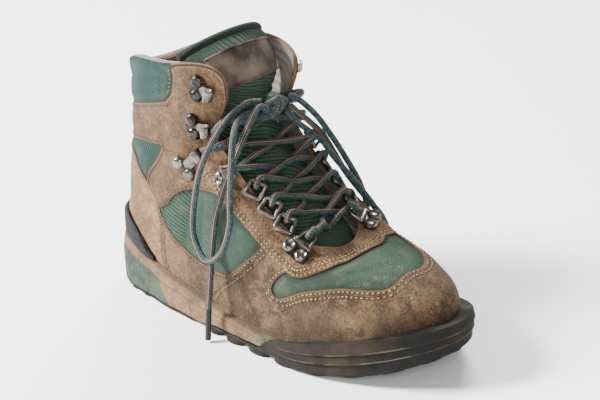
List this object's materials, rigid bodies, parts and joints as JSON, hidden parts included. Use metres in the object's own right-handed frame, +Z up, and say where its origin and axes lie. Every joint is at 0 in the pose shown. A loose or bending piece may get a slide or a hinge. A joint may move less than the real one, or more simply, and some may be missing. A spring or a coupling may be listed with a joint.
{
  "type": "walking boot",
  "caption": "Mid-height lace-up walking boot in muddy suede and green cloth, with a padded tongue, metal lace hooks and rings, a tan midsole and a lugged rubber sole with a toe bumper.",
  "frame": {"origin": "centre of the standing boot on the ground, at the middle of its length and width", "axes": "+X towards the toe, +Y towards the inner (big toe) side, +Z up"},
  "size_m": [0.2913, 0.125, 0.1949],
  "materials": {
    "outsole_rubber": "matt black rubber with dried mud in the tread",
    "midsole_foam": "tan speckled foam with green heel and toe zones, dusty",
    "cup_rubber": "ribbed black rubber, slightly glossy",
    "suede": "taupe suede with ribbed green cloth panels, stitched, stained with mud",
    "insole_cloth": "worn flat cloth",
    "tongue_cloth": "padded teal green ribbed cloth with a plain pinkish patch",
    "blackened_steel": "darkened steel, worn bright on the domes",
    "polished_steel": "polished steel, a little tarnished",
    "grey_steel": "grey painted wire, worn",
    "lace_cord": "round cord with dark, teal, white and pink lengthwise stripes",
    "lace_tip": "dark plastic sleeve"
  },
  "bodies": {
    "root": {"outsole": "outsole_rubber", "midsole": "midsole_foam", "heel_cup": "cup_rubber", "upper": "suede", "insole": "insole_cloth", "tongue": "tongue_cloth", "outer_hook_top": "blackened_steel", "outer_hook_middle": "blackened_steel", "outer_hook_low": "blackened_steel", "outer_ring_ankle": "polished_steel", "outer_ring_toe": "polished_steel", "outer_loop_upper": "grey_steel", "outer_loop_middle": "grey_steel", "outer_loop_lower": "grey_steel", "inner_hook_top": "blackened_steel", "inner_hook_middle": "blackened_steel", "inner_hook_low": "blackened_steel", "inner_ring_ankle": "polished_steel", "inner_ring_toe": "polished_steel", "inner_loop_upper": "grey_steel", "inner_loop_middle": "grey_steel", "inner_loop_lower": "grey_steel", "lacing": "lace_cord", "knot": "lace_cord", "bow_outer": "lace_cord", "bow_inner": "lace_cord", "end_outer": "lace_cord", "end_inner": "lace_cord", "tip_outer": "lace_tip", "tip_inner": "lace_tip"}
  },
  "joints": []
}
